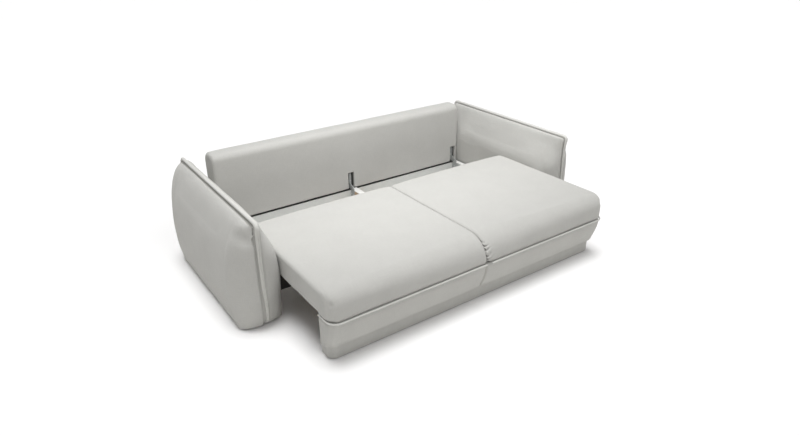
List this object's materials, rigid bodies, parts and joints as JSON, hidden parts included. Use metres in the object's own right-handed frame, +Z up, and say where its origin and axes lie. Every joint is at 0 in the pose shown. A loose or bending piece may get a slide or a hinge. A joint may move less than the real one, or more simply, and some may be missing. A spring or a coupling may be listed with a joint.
{
  "type": "sofa bed",
  "caption": "Pull-out sofa bed with pillow arms: the seat slides forward on rollers and the back folds down level behind it to make a flat bed.",
  "frame": {"origin": "on the floor, under the middle of the sofa bed's width and of its whole depth with the seat pulled out", "axes": "+X along the sofa to its right as seen from the front, +Y from the seat's front to the back, +Z up"},
  "size_m": [2.5326, 1.6743, 0.677],
  "materials": {
    "upholstery": "matte",
    "lining": "matte",
    "timber": "matte",
    "plywood": "matte",
    "white_plastic": "satin",
    "hinge_steel": "satin",
    "fixings": "satin",
    "rubber": "matte",
    "black_plastic": "satin",
    "roller_plastic": "satin"
  },
  "bodies": {
    "base": {"arm_cover_left": "upholstery", "arm_cover_right": "upholstery", "arm_welt_left": "upholstery", "arm_welt_right": "upholstery", "arm_board_left": "plywood", "arm_board_right": "plywood", "arm_front_post_left": "timber", "arm_front_post_right": "timber", "arm_rear_post_left": "timber", "arm_rear_post_right": "timber", "arm_top_rail_left": "timber", "arm_top_rail_right": "timber", "arm_bottom_rail_left": "timber", "arm_bottom_rail_right": "timber", "floor_glides": "black_plastic", "arm_fixings": "fixings", "rear_cross_rail": "timber", "rear_lining": "lining", "rear_board": "upholstery", "support_blocks": "timber", "backrest_buffers": "rubber", "side_rail_left": "timber", "side_rail_right": "timber", "centre_rail": "timber", "front_cross_rail": "timber", "slide_strips": "white_plastic", "hinge_plate_left": "hinge_steel", "hinge_plate_centre": "hinge_steel", "hinge_plate_right": "hinge_steel", "hinge_pins": "fixings", "plate_screws": "fixings"},
    "seat": {"seat_cushion_left": "upholstery", "seat_cushion_right": "upholstery", "front_panel_left": "upholstery", "front_panel_right": "upholstery", "seat_piping_left": "upholstery", "seat_piping_right": "upholstery", "seat_front_rail": "timber", "seat_rear_rail": "timber", "seat_cross_rails": "timber", "seat_slats": "plywood", "front_board": "upholstery", "front_sole": "plywood", "plinth_front": "upholstery", "plinth_ends": "upholstery", "seat_glides": "white_plastic", "roller_brackets": "hinge_steel", "roller_axles": "fixings"},
    "backrest": {"backrest_cover": "upholstery", "backrest_top_rail": "timber", "backrest_bottom_rail": "timber", "backrest_posts": "timber", "hinge_arm_left": "hinge_steel", "hinge_arm_centre": "hinge_steel", "hinge_arm_right": "hinge_steel", "flange_screws": "fixings"},
    "roller_1": {"roller_1": "roller_plastic"},
    "roller_2": {"roller_2": "roller_plastic"},
    "roller_3": {"roller_3": "roller_plastic"},
    "roller_4": {"roller_4": "roller_plastic"}
  },
  "joints": [
    {"name": "seat_slide", "type": "slide", "parent": "base", "child": "seat", "axis": [0, 1, 0], "range_m": [0, 0.49]},
    {"name": "back_fold", "type": "hinge", "parent": "base", "child": "backrest", "pos_m": [0, 0.58979, 0.226], "axis": [-1, 0, 0], "range_deg": [-90, 0]},
    {"name": "roller_1_spin", "type": "hinge", "parent": "seat", "child": "roller_1", "pos_m": [-0.85, -0.71621, 0.025], "axis": [1, 0, 0], "continuous": true},
    {"name": "roller_2_spin", "type": "hinge", "parent": "seat", "child": "roller_2", "pos_m": [-0.3, -0.71621, 0.025], "axis": [1, 0, 0], "continuous": true},
    {"name": "roller_3_spin", "type": "hinge", "parent": "seat", "child": "roller_3", "pos_m": [0.3, -0.71621, 0.025], "axis": [1, 0, 0], "continuous": true},
    {"name": "roller_4_spin", "type": "hinge", "parent": "seat", "child": "roller_4", "pos_m": [0.85, -0.71621, 0.025], "axis": [1, 0, 0], "continuous": true}
  ]
}
